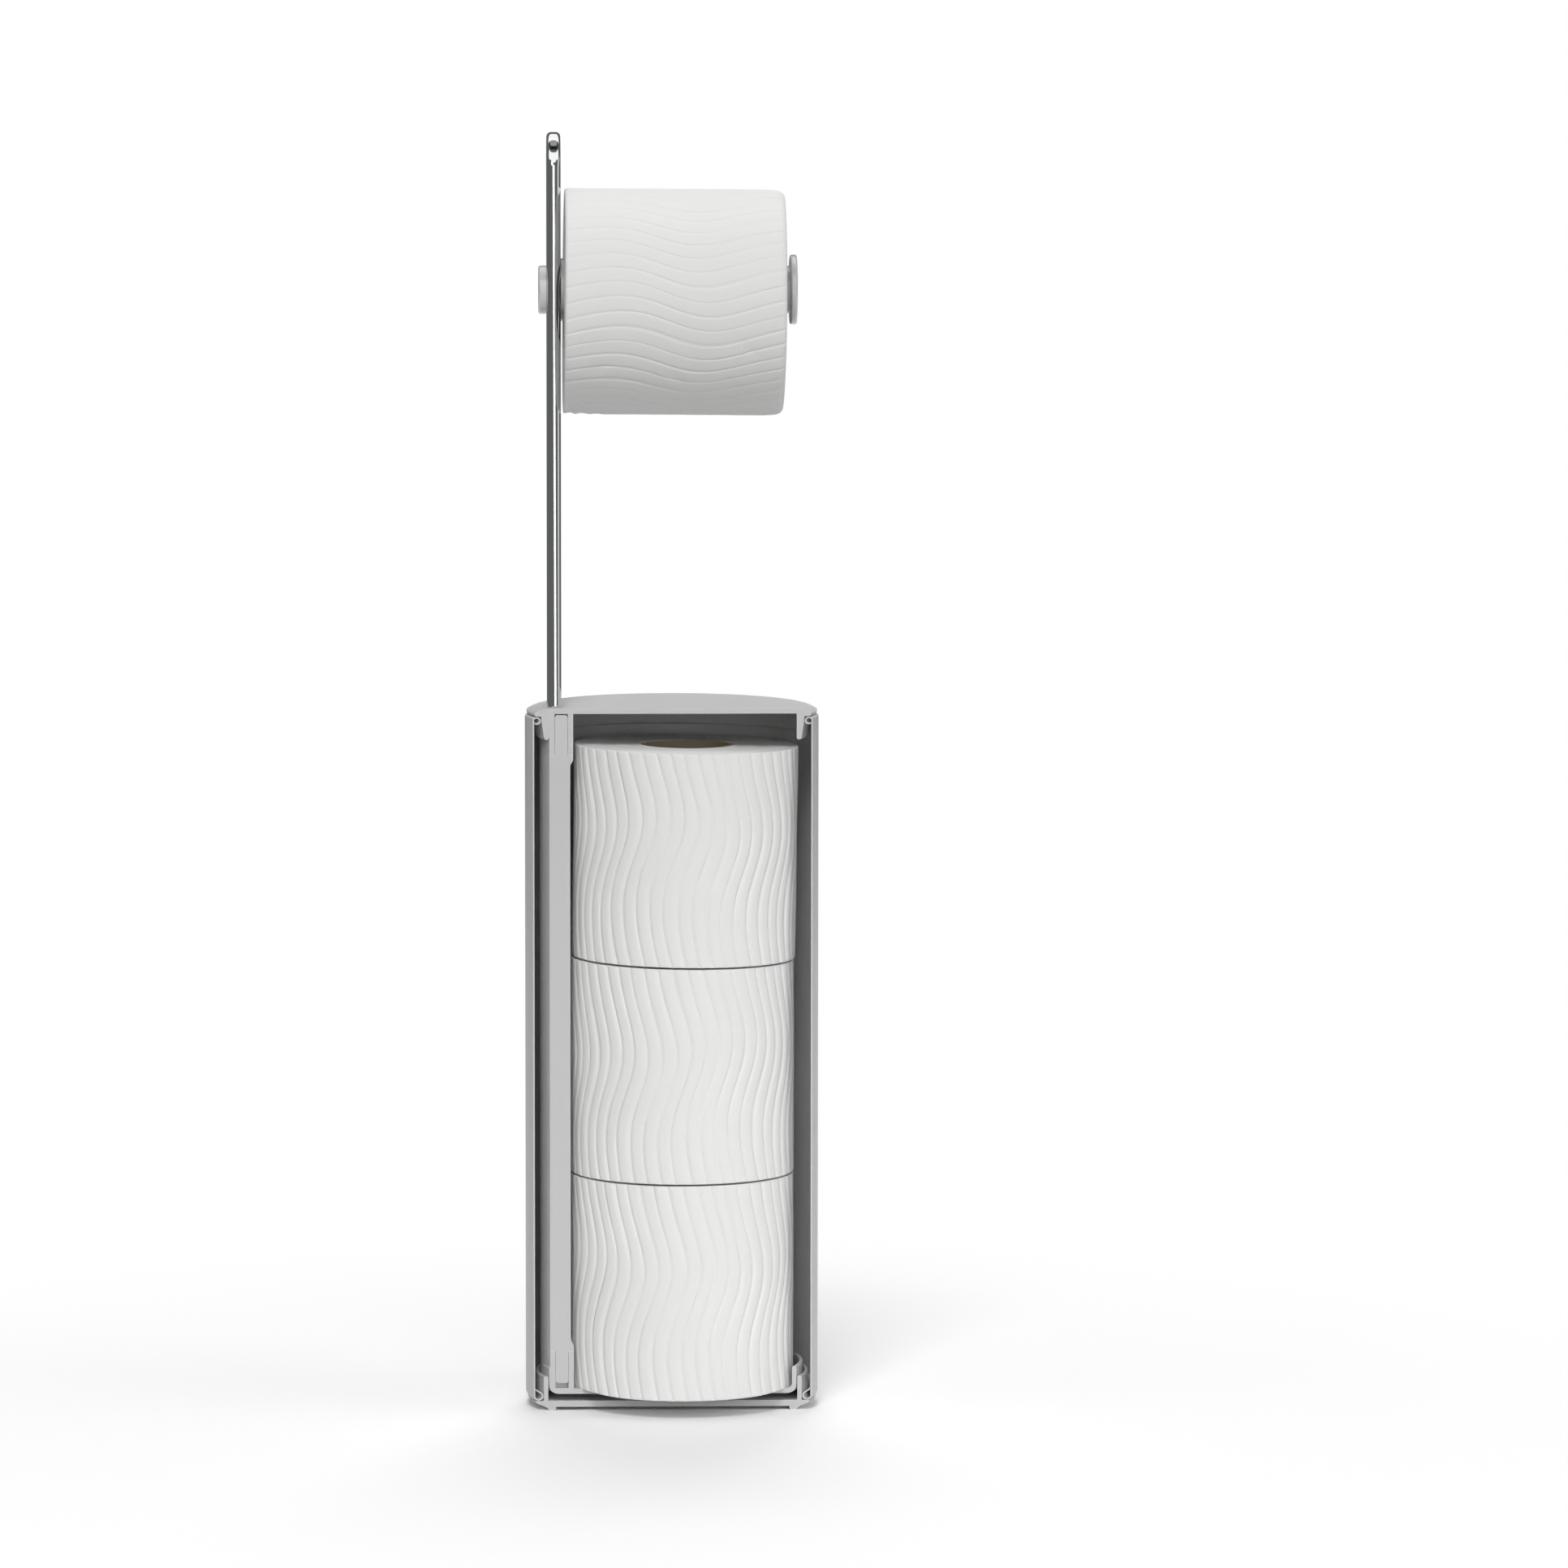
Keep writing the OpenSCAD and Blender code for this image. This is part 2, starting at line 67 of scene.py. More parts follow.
# The display cut is the shell's front face. OUTSIDE_R lies between the sheet's two faces
SHELL_LOW, SHELL_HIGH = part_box("housing_shell")
CUT_Y = SHELL_LOW.y
OUTSIDE_R = SHELL_HIGH.x - 0.35 * MM


def linear(grey, green=None, blue=None):
    """A colour as a paint chart gives it, from 0 to 1, in the renderer's linear values."""
    chart = (grey, grey if green is None else green, grey if blue is None else blue)
    return tuple(c / 12.92 if c <= 0.04045 else ((c + 0.055) / 1.055) ** 2.4 for c in chart)


def chart_colour(name, description, *grey):
    """A colour property with its default from a paint chart."""
    return FloatVectorProperty(
        name=name,
        description=description,
        subtype="COLOR",
        size=3,
        min=0,
        max=1,
        default=linear(*grey),
    )


def length(name, description, default, low, high):
    """A length property, with its default and limits in mm."""
    return FloatProperty(
        name=name,
        description=description,
        default=default * MM,
        min=low * MM,
        max=high * MM,
        unit="LENGTH",
        precision=5,
    )


def tilt(name, description, default, high):
    """An angle property, with its default and upper limit in degrees."""
    return FloatProperty(
        name=name,
        description=description,
        default=math.radians(default),
        min=0,
        max=math.radians(high),
        subtype="ANGLE",
    )


def lamp_power(name, description, default):
    """A property for the power of a lamp, in watts."""
    return FloatProperty(
        name=name, description=description, default=default, min=0, max=500, subtype="POWER"
    )


def light_level(name, description, default):
    """A property for a strength of light, where 1 is white."""
    return FloatProperty(
        name=name, description=description, default=default, min=0, max=2, subtype="FACTOR"
    )


class PaperSettings(bpy.types.PropertyGroup):
    """Sizes of the embossed tissue rolls."""

    grooves: IntProperty(
        name="Grooves", description="Embossed grooves round a roll", default=48, min=12, max=90
    )
    groove_depth: length("Groove depth", "Depth of the grooves in a stored roll", 0.95, 0, 1.5)
    groove_width: length("Groove width", "Width of the grooves in a stored roll", 1.4, 0.2, 3)
    used_depth: length(
        "Groove depth in use",
        "Depth of the grooves in the roll in use, which is wound looser",
        0.30,
        0,
        1.5,
    )
    used_width: length(
        "Groove width in use", "Width of the grooves in the roll in use", 0.85, 0.2, 3
    )
    pillow: length("Pillow height", "Rise of the paper between two grooves", 0.04, 0, 0.5)
    wave_height: length("Wave height", "Sideways swing of a groove, to each side", 4.7, 0, 12)
    wave_length: length("Wave length", "Length of one wave of a groove", 90, 20, 300)
    edge: length("Edge rounding", "Rounding of the edges of a stored roll", 0.6, 0.3, 8)
    used_edge: length(
        "Edge rounding in use",
        "Rounding of the edge of the roll in use that faces the loop",
        1.4,
        0.5,
        8,
    )
    loose_edge: length(
        "Pressed edge rounding",
        "Rounding of the edge of the roll in use that faces the end disc",
        3.4,
        0.5,
        8,
    )
    lean: tilt(
        "Lean of the top roll",
        "How far the top roll of the store leans towards the arm's free end",
        0.85,
        3,
    )
    droop: tilt(
        "Droop of the roll in use", "How far the paper hangs lower at the arm's free end", 0.45, 2
    )
    yaw: tilt(
        "Turn of the roll in use",
        "How far the paper's end at the loop has turned to the front",
        0.2,
        2,
    )
    rows: IntProperty(
        name="Rows along a roll",
        description="Rows of faces along the wound face of a roll",
        default=44,
        min=12,
        max=120,
    )


class FinishSettings(bpy.types.PropertyGroup):
    """Colours of the finishes."""

    shell_outside: chart_colour("Housing, outside", "Paint on the shell's outside", 0.79)
    # Painted light: the inside is paler than the outside, though the sheet is painted alike, so that
    # the shaded interior shows brighter
    shell_inside_brightened: chart_colour("Housing, inside", "Paint on the shell's inside", 0.88)
    moulding: chart_colour("Mouldings", "Plastic of the base, the post and the tray", 0.815)
    lid: chart_colour("Lid", "Plastic of the lid", 0.79)
    cut_face: chart_colour("Display cut", "Faces of the display cut", 0.80)
    chrome: chart_colour("Chrome", "Plating of the wire loop", 0.87, 0.875, 0.88)
    zinc: chart_colour("Zinc plating", "Plating of the nuts and the stud", 0.72, 0.73, 0.75)
    satin: chart_colour("Satin cap and disc", "Lacquer of the arm's cap and end disc", 0.83)
    barrel: chart_colour("Barrel", "Plastic of the barrel in the roll", 0.74)
    tissue: chart_colour("Tissue", "Paper on the wound face of a roll", 0.93)
    tissue_end: chart_colour("Tissue, at a roll's end", "Paper's edges at the roll's ends", 0.71)
    board: chart_colour("Core board", "Board of the cores", 0.72, 0.66, 0.57)


class StageSettings(bpy.types.PropertyGroup):
    """Camera and studio light."""

    camera_at: FloatVectorProperty(
        name="Camera",
        description="Place of the camera",
        subtype="XYZ",
        unit="LENGTH",
        default=(-0.09281, -3.8989, 0.67),
    )
    camera_to: FloatVectorProperty(
        name="Aim",
        description="Point that the camera looks at, before the shift",
        subtype="XYZ",
        unit="LENGTH",
        default=(0.00153, 0, 0.28942),
    )
    lens: FloatProperty(
        name="Lens",
        description="Focal length, for a sensor 36 mm wide",
        default=194.38,
        min=20,
        max=400,
        unit="CAMERA",
    )
    shift: FloatProperty(
        name="Shift",
        description="Sideways shift of the picture, as a share of its width",
        default=0.0695,
        min=-0.5,
        max=0.5,
        subtype="FACTOR",
    )
    ambient: light_level("Ambient", "Even light from all sides", 0.18)
    sky: light_level("Sky", "Further light from above", 0.06)
    top: lamp_power("Top light", "Lamp over the object", 1)
    high: lamp_power("High front light", "Lamp high in front, a little to the left", 34)
    front: lamp_power("Front light", "Wide lamp in front of the object", 14.6)
    left: lamp_power("Left light", "Wide lamp on the left", 3.2)
    right: lamp_power("Right light", "Wide lamp on the right", 11)
    back: lamp_power("Back light", "Lamp above and behind the object", 15)
    rear: lamp_power("Rear light", "Wide lamp behind the object", 18)
    low: lamp_power("Low light", "Small lamp near the floor that lights the foot", 0.12)
    floor: chart_colour("Floor", "Colour of the floor as it lights the object", 0.86)
    floor_seen: light_level(
        "Seen floor", "Lightness of the floor as the camera and mirrors see it", 1.09
    )


class Wire:
    """One output of a shader node. Arithmetic on it adds Math nodes."""

    def __init__(self, finish, socket):
        self.finish = finish
        self.socket = socket

    def maths(self, operation, *terms):
        return self.finish.node("ShaderNodeMath", {"operation": operation}, terms)

    def __add__(self, other):
        return self.maths("ADD", self, other)

    def __radd__(self, other):
        return self.maths("ADD", other, self)

    def __sub__(self, other):
        return self.maths("SUBTRACT", self, other)

    def __rsub__(self, other):
        return self.maths("SUBTRACT", other, self)

    def __mul__(self, other):
        return self.maths("MULTIPLY", self, other)

    def __truediv__(self, other):
        return self.maths("DIVIDE", self, other)

    def __gt__(self, other):
        return self.maths("GREATER_THAN", self, other)

    def __lt__(self, other):
        return self.maths("LESS_THAN", self, other)

    def __abs__(self):
        return self.maths("ABSOLUTE", self)

    def sine(self):
        return self.maths("SINE", self)

    def root(self):
        return self.maths("SQRT", self)

    def fraction(self):
        return self.maths("FRACT", self)

    def angle_to(self, other):
        return self.maths("ARCTAN2", self, other)

    def step(self, low, high):
        """0 below low and 1 above high, with a soft ramp between."""
        return self.finish.node(
            "ShaderNodeMapRange",
            {"interpolation_type": "SMOOTHSTEP"},
            {"Value": self, "From Min": low, "From Max": high},
        )

    def between(self, low, high):
        """1 where an angle lies between two angles in degrees, else 0."""
        return (self > math.radians(low)) * (self < math.radians(high))


class Finish:
    """A material, or the world, whose nodes are built with Python expressions."""

    def __init__(self, owner, end_node):
        owner.use_nodes = True
        self.owner = owner
        self.tree = owner.node_tree
        self.tree.nodes.clear()
        self.end = self.tree.nodes.new(end_node).inputs["Surface"]

    def node(self, kind, settings=None, values=(), output=0):
        """Adds a node, sets its settings, then the values or links of its sockets."""
        made = self.tree.nodes.new(kind)
        for key, value in (settings or {}).items():
            setattr(made, key, value)
        pairs = values.items() if isinstance(values, dict) else enumerate(values)
        for key, value in pairs:
            socket = made.inputs[key]
            if isinstance(value, Wire):
                self.tree.links.new(value.socket, socket)
            elif socket.type == "RGBA" and len(value) == 3:
                socket.default_value = (*value, 1)
            else:
                socket.default_value = value
        return Wire(self, made.outputs[output])

    def mix(self, mask, first, second):
        """The first colour where the mask is 0 and the second where it is 1."""
        return self.node(
            "ShaderNodeMix", {"data_type": "RGBA"}, {0: mask, 6: first, 7: second}, output=2
        )

    def place(self):
        """Object coordinates, as x, y and z."""
        self.where = self.node("ShaderNodeTexCoord", output=3)
        return [self.node("ShaderNodeSeparateXYZ", None, [self.where], i) for i in range(3)]

    def grain(self, size, detail, rough, stretch=(1, 1, 1)):
        """Noise with features of the given size in metres, once place has been asked for."""
        where = self.node(
            "ShaderNodeMapping", None, {"Vector": self.where, "Scale": Vector(stretch) / size}
        )
        return self.node(
            "ShaderNodeTexNoise",
            None,
            {"Vector": where, "Scale": 1.0, "Detail": detail, "Roughness": rough},
        )

    def bump(self, height, distance):
        return self.node(
            "ShaderNodeBump", None, {"Strength": 1.0, "Distance": distance, "Height": height}
        )

    def seen_ray(self):
        """1 for what the camera sees straight on, in a mirror or through glass, else 0."""
        camera, glossy, through = [self.node("ShaderNodeLightPath", output=i) for i in (0, 3, 6)]
        return (camera + glossy + through).step(0, 1)

    def surface(self, **sockets):
        """Ends the material with a Principled shader. Names use _ for a space."""
        values = {key.replace("_", " "): value for key, value in sockets.items()}
        self.finish_with(self.node("ShaderNodeBsdfPrincipled", None, values))

    def finish_with(self, wire):
        self.tree.links.new(wire.socket, self.end)


def new_finish(name):
    return Finish(bpy.data.materials.new(name), "ShaderNodeOutputMaterial")


def finish_of(name, make, *facts):
    """A finish by name, made the first time it is asked for."""
    return bpy.data.materials.get(name) or make(name, *facts)


def cut_mask(y):
    """1 on the faces of the display cut."""
    return y < CUT_Y + NEAR


def painted_edge_highlight(finish, reach):
    """1 along the edges of a cut face, where a painted highlight stands in for the light caught by a
    fine rounded edge.
    """
    eased = finish.node("ShaderNodeBevel", {"samples": 6}, {"Radius": reach})
    plain = finish.node("ShaderNodeNewGeometry", output=3)
    same = finish.node("ShaderNodeVectorMath", {"operation": "DOT_PRODUCT"}, [eased, plain], 1)
    return (1 - same).step(0.02, 0.16)


def paint_finish(name, colours):
    """Satin powder coat, paler inside than out as painted light for the shaded interior, and a painted
    highlight along the edges of the display cut.
    """
    f = new_finish(name)
    x, y, _ = f.place()
    outside = (x * x + y * y).root() > OUTSIDE_R
    peel = f.grain(0.9 * MM, 2, 0.5)
    cloud = f.grain(40 * MM, 3, 0.55)
    # The paler inside coat is painted light that brightens the shaded interior
    coat = f.mix(outside, tuple(colours.shell_inside_brightened), tuple(colours.shell_outside))
    coat = f.mix((cloud - 0.5) * 0.10, coat, linear(0.70))
    # Painted highlight: the cut faces get lighter along their edges, standing in for rounded edges
    # that catch the light
    section = f.mix(painted_edge_highlight(f, 0.5 * MM) * 0.6, tuple(colours.cut_face), linear(0.90))
    f.surface(
        Base_Color=f.mix(cut_mask(y), coat, section),
        Roughness=0.42 + (peel - 0.5) * 0.12,
        Normal=f.bump(peel, 0.03 * MM),
        Specular_IOR_Level=0.4,
    )
    return f.owner


def moulding_finish(name, shade, colours):
    """Fine spark-eroded texture of a grey moulding, fine saw marks on the display cut, and a painted
    highlight along the cut's edges.
    """
    f = new_finish(name)
    cut = cut_mask(f.place()[1])
    texture = f.grain(0.35 * MM, 2, 0.6)
    cloud = f.grain(30 * MM, 3, 0.55)
    marks = f.grain(0.5 * MM, 3, 0.6, (0.08, 1, 1))
    colour = f.mix((cloud - 0.5) * 0.10, tuple(shade), linear(0.72))
    face = f.mix((marks - 0.5) * 0.08, tuple(colours.cut_face), linear(0.70))
    # Painted highlight: the cut faces get lighter along their edges, standing in for rounded edges
    # that catch the light
    face = f.mix(painted_edge_highlight(f, 0.6 * MM) * 0.7, face, linear(0.90))
    height = texture * (1 - cut) + marks * cut * 0.3
    f.surface(
        Base_Color=f.mix(cut, colour, face),
        Roughness=0.55 + (texture - 0.5) * 0.15,
        Normal=f.bump(height, 0.025 * MM),
        Specular_IOR_Level=0.35,
    )
    return f.owner


# The flat faces of the bent bar are a little crowned, up to where its head begins to bend
CROWN_R = 6 * MM
CROWN_FADES = (17 * MM, 9 * MM)


def chrome_finish(name, colours):
    """Polished plating over a bar that is never perfectly even, with slightly crowned faces."""
    f = new_finish(name)
    x, _, z = f.place()
    low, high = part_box("wire_loop")
    across = (x - (low.x + high.x) / 2) / MM
    crown = across * across / (2 * CROWN_R / MM)
    crown = crown * (1 - z.step(high.z - CROWN_FADES[0], high.z - CROWN_FADES[1]))
    ripple = f.grain(2.2 * MM, 2, 0.5, (1, 1, 0.6))
    haze = f.grain(1.2 * MM, 3, 0.6)
    f.surface(
        Base_Color=tuple(colours.chrome),
        Metallic=1.0,
        Roughness=0.035 + (haze - 0.5) * 0.03,
        Normal=f.bump(ripple * 0.012 + haze * 0.002 - crown, MM),
    )
    return f.owner


def zinc_finish(name, colours):
    """Zinc plating with its faint crystal pattern."""
    f = new_finish(name)
    f.place()
    crystal = f.grain(0.8 * MM, 4, 0.7)
    f.surface(
        Base_Color=f.mix(crystal * 0.3, tuple(colours.zinc), linear(0.5)),
        Metallic=1.0,
        Roughness=0.32 + (crystal - 0.5) * 0.2,
        Normal=f.bump(crystal, 0.01 * MM),
    )
    return f.owner


def satin_finish(name, colour):
    """Satin lacquer with fine turning marks round the arm's axis."""
    f = new_finish(name)
    f.place()
    fine = f.grain(0.25 * MM, 3, 0.6)
    cloud = f.grain(9 * MM, 2, 0.5)
    turning = f.grain(0.3 * MM, 2, 0.5, (1, 0.05, 0.05))
    f.surface(
        Base_Color=f.mix((cloud - 0.5) * 0.12, tuple(colour), linear(0.66)),
        Metallic=0.12,
        Roughness=0.30 + (fine - 0.5) * 0.12,
        Coat_Weight=0.7,
        Coat_Roughness=0.12,
        Normal=f.bump(fine * 0.4 + turning * 0.6, 0.012 * MM),
    )
    return f.owner


def tissue_finish(name, colours):
    """Soft tissue: fibres and crepe on the wound face, edges of the layers on the ends."""
    f = new_finish(name)
    f.place()
    ends = f.node("ShaderNodeAttribute", {"attribute_name": "end_face"}, output=2)
    wound = f.node("ShaderNodeAttribute", {"attribute_name": "wound_radius"}, output=2)
    fibre = f.grain(0.5 * MM, 5, 0.65)
    crepe = f.grain(1.6 * MM, 4, 0.6)
    cloud = f.grain(26 * MM, 3, 0.5)
    wander = f.grain(14 * MM, 2, 0.5)

    def layer_lines(spacing, astray):
        turns = wound / spacing + wander * astray
        return (turns * (2 * math.pi)).sine() * 0.5 + 0.5

    layers = (layer_lines(0.9 * MM, 1.6) * 0.6 + layer_lines(0.31 * MM, 3.0) * 0.4) * ends
    tone = (cloud - 0.5) * 0.10 + (crepe - 0.5) * 0.05
    colour = f.mix(tone, tuple(colours.tissue), linear(0.84))
    end_tone = f.mix(layers * 0.45, tuple(colours.tissue_end), linear(0.70))
    height = fibre * 0.30 + crepe * 0.55 + layers * 1.2
    f.surface(
        Base_Color=f.mix(ends, colour, end_tone),
        Roughness=0.95 + (fibre - 0.5) * 0.06,
        Normal=f.bump(height, 0.09 * MM),
        Specular_IOR_Level=0.15,
        Sheen_Weight=0.15,
        Sheen_Roughness=0.6,
    )
    return f.owner


# The strip that a core is wound from: its advance in a turn, and, as shares of that, the place and
# half the width of its pale lap and of the dark step beside it
STRIP_LEAD = 150 * MM
LAP_AT, LAP_HALF = 0.5, 0.010
STEP_AT, STEP_HALF = 0.515, 0.004


def board_finish(name, colours, upright, centre):
    """Grey-brown board wound in a slanting strip: the strip's edge is a pale line beside a step."""
    f = new_finish(name)
    x, y, z = f.place()
    if upright:
        across, up, along = x - centre.x, y - centre.y, z
    else:
        across, up, along = y - centre.y, z - centre.z, x
    angle = up.angle_to(across)
    turn = (along / STRIP_LEAD + angle / (2 * math.pi) + 10.0).fraction()
    lap = abs(turn - LAP_AT) < LAP_HALF
    step = abs(turn - STEP_AT) < STEP_HALF
    fibre = f.grain(0.4 * MM, 5, 0.7, (1, 1, 0.35) if upright else (0.35, 1, 1))
    cloud = f.grain(7 * MM, 3, 0.6)
    colour = f.mix((fibre - 0.35) * 0.6, tuple(colours.board), linear(0.56, 0.50, 0.41))
    colour = f.mix((cloud - 0.5) * 0.5, colour, linear(0.76, 0.71, 0.62))
    colour = f.mix(lap * 0.7, colour, linear(0.90, 0.86, 0.78))
    colour = f.mix(step * 0.7, colour, linear(0.25, 0.20, 0.15))
    f.surface(
        Base_Color=colour,
        Roughness=0.88 + (fibre - 0.5) * 0.1,
        Normal=f.bump(fibre - step * 1.5, 0.08 * MM),
        Specular_IOR_Level=0.2,
    )
    return f.owner


def dress(node, finish):
    """Gives a CAD node its finish."""
    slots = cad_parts[node].data.materials
    slots.clear()
    slots.append(finish)


def clear_selection():
    if bpy.context.object and bpy.context.object.mode != "OBJECT":
        bpy.ops.object.mode_set(mode="OBJECT")
    bpy.ops.object.select_all(action="DESELECT")


def select_only(piece):
    clear_selection()
    piece.select_set(True)
    bpy.context.view_layer.objects.active = piece


def select_where(piece, test, kind="vertices"):
    """Selects only the vertices or edges whose ends all pass the test. Leaves edit mode on."""
    bpy.ops.object.mode_set(mode="EDIT")
    bpy.ops.mesh.select_mode(type="VERT" if kind == "vertices" else "EDGE")
    bpy.ops.mesh.select_all(action="DESELECT")
    bpy.ops.object.mode_set(mode="OBJECT")
    mesh = piece.data
    for item in getattr(mesh, kind):
        ends = [item.index] if kind == "vertices" else item.vertices
        item.select = all(test(mesh.vertices[i].co) for i in ends)
    bpy.ops.object.mode_set(mode="EDIT")


def apply_place(piece):
    select_only(piece)
    bpy.ops.object.transform_apply(location=True, rotation=True, scale=True)


def complete(piece, finish):
    """Settles a piece where it stands, shades it smoothly and gives it its finish."""
    apply_place(piece)
    bpy.ops.object.shade_smooth_by_angle(angle=math.radians(50))
    piece.data.materials.append(finish)


class Roll(NamedTuple):
    """A roll or core that stands on z = 0, with the rounding of its lower and upper edge."""

    width: float
    outer_r: float
    hole_r: float
    low_edge: float
    high_edge: float


class Press(NamedTuple):
    """Depth and width of the grooves, and how much deeper they are where the angle is 0."""

    depth: float
    width: float
    deeper: float


COLUMNS_PER_GROOVE = 8
EDGE_SEGMENTS = 7


def wound_tube(name, roll, columns, rows):
    """A thick tube about Z from z = 0 up, spun from a section with rounded outer corners."""
    width, outer_r, hole_r, low_edge, high_edge = roll
    clear_selection()
    bpy.ops.mesh.primitive_plane_add(
        size=1, location=((hole_r + outer_r) / 2, 0, width / 2), rotation=(math.pi / 2, 0, 0)
    )
    piece = bpy.context.object
    piece.name = piece.data.name = name
    piece.scale = (outer_r - hole_r, width, 1)
    apply_place(piece)
    for z, edge in ((0, low_edge), (width, high_edge)):
        select_where(piece, lambda co, z=z: co.x > outer_r - NEAR and abs(co.z - z) < NEAR)
        bpy.ops.mesh.bevel(
            offset=edge, offset_type="OFFSET", segments=EDGE_SEGMENTS, affect="VERTICES"
        )
    sides = (
        (lambda co: co.x > outer_r - NEAR, rows),
        (lambda co: co.z < NEAR, rows // 5),
        (lambda co: co.z > width - NEAR, rows // 5),
        (lambda co: co.x < hole_r + NEAR, rows // 5),
    )
    for test, cuts in sides:
        select_where(piece, test, "edges")
        bpy.ops.mesh.subdivide(number_cuts=cuts)
    bpy.ops.mesh.select_all(action="SELECT")
    bpy.ops.mesh.delete(type="ONLY_FACE")
    bpy.ops.mesh.select_all(action="SELECT")
    bpy.ops.mesh.spin(
        steps=columns,
        angle=2 * math.pi,
        center=(0, 0, 0),
        axis=(0, 0, 1),
        use_auto_merge=True,
    )
    bpy.ops.mesh.select_all(action="SELECT")
    bpy.ops.mesh.remove_doubles(threshold=0.002 * MM)
    bpy.ops.mesh.normals_make_consistent(inside=False)
    bpy.ops.object.mode_set(mode="OBJECT")
    return piece


def coordinates(mesh):
    """The places of a mesh's vertices, a row for each."""
    co = np.zeros(len(mesh.vertices) * 3)
    mesh.vertices.foreach_get("co", co)
    return co.reshape(-1, 3)


def move_vertices(mesh, co):
    mesh.vertices.foreach_set("co", co.ravel())
    mesh.update()


def smooth(t):
    """A soft ramp from 0 to 1 as t goes from 0 to 1."""
    t = np.clip(t, 0, 1)
    return t * t * (3 - 2 * t)


def hill(value, middle, half):
    """1 at the middle, falling smoothly to 0 at half to each side."""
    return smooth(1 - np.abs(value - middle) / half)


def wrapped(angle):
    """The angle between minus and plus half a turn."""
    return (angle + math.pi) % (2 * math.pi) - math.pi


# Places of the columns beside a groove's middle line, as shares of its width
BESIDE_GROOVE = np.array([0.32, 0.70, 1.5])

# How far the waves wander round the roll, slowly and fast, the share of a second wave of half the
# length in them, how far each groove goes its own way and over what length, and how much its
# depth varies and over what length. The golden angle makes neighbours differ
SLOW_DRIFT, FAST_DRIFT = 3.5 * MM, 2.0 * MM
SECOND_WAVE, SECOND_PHASE = 0.10, 0.8
UNEVEN, UNEVEN_LENGTH = 0.5 * MM, 31 * MM
DEPTH_VARIES, DEPTH_LENGTH = 0.18, 17 * MM
GOLDEN_ANGLE = 2.399

# The wound face's slight softness, with lumps of this size round the roll and along it
SOFTNESS = 0.30 * MM
LUMPS_ROUND, LUMP_HEIGHT = 1.6, 38 * MM

# The rings and dents in the end faces, and how far from the rim and the core they reach full depth
RING_HEIGHT, RING_SPACING = 0.16 * MM, 2.3 * MM
DENT_DEPTH = 0.12 * MM
RIM_FADE, CORE_FADE = 2 * MM, 1.5 * MM


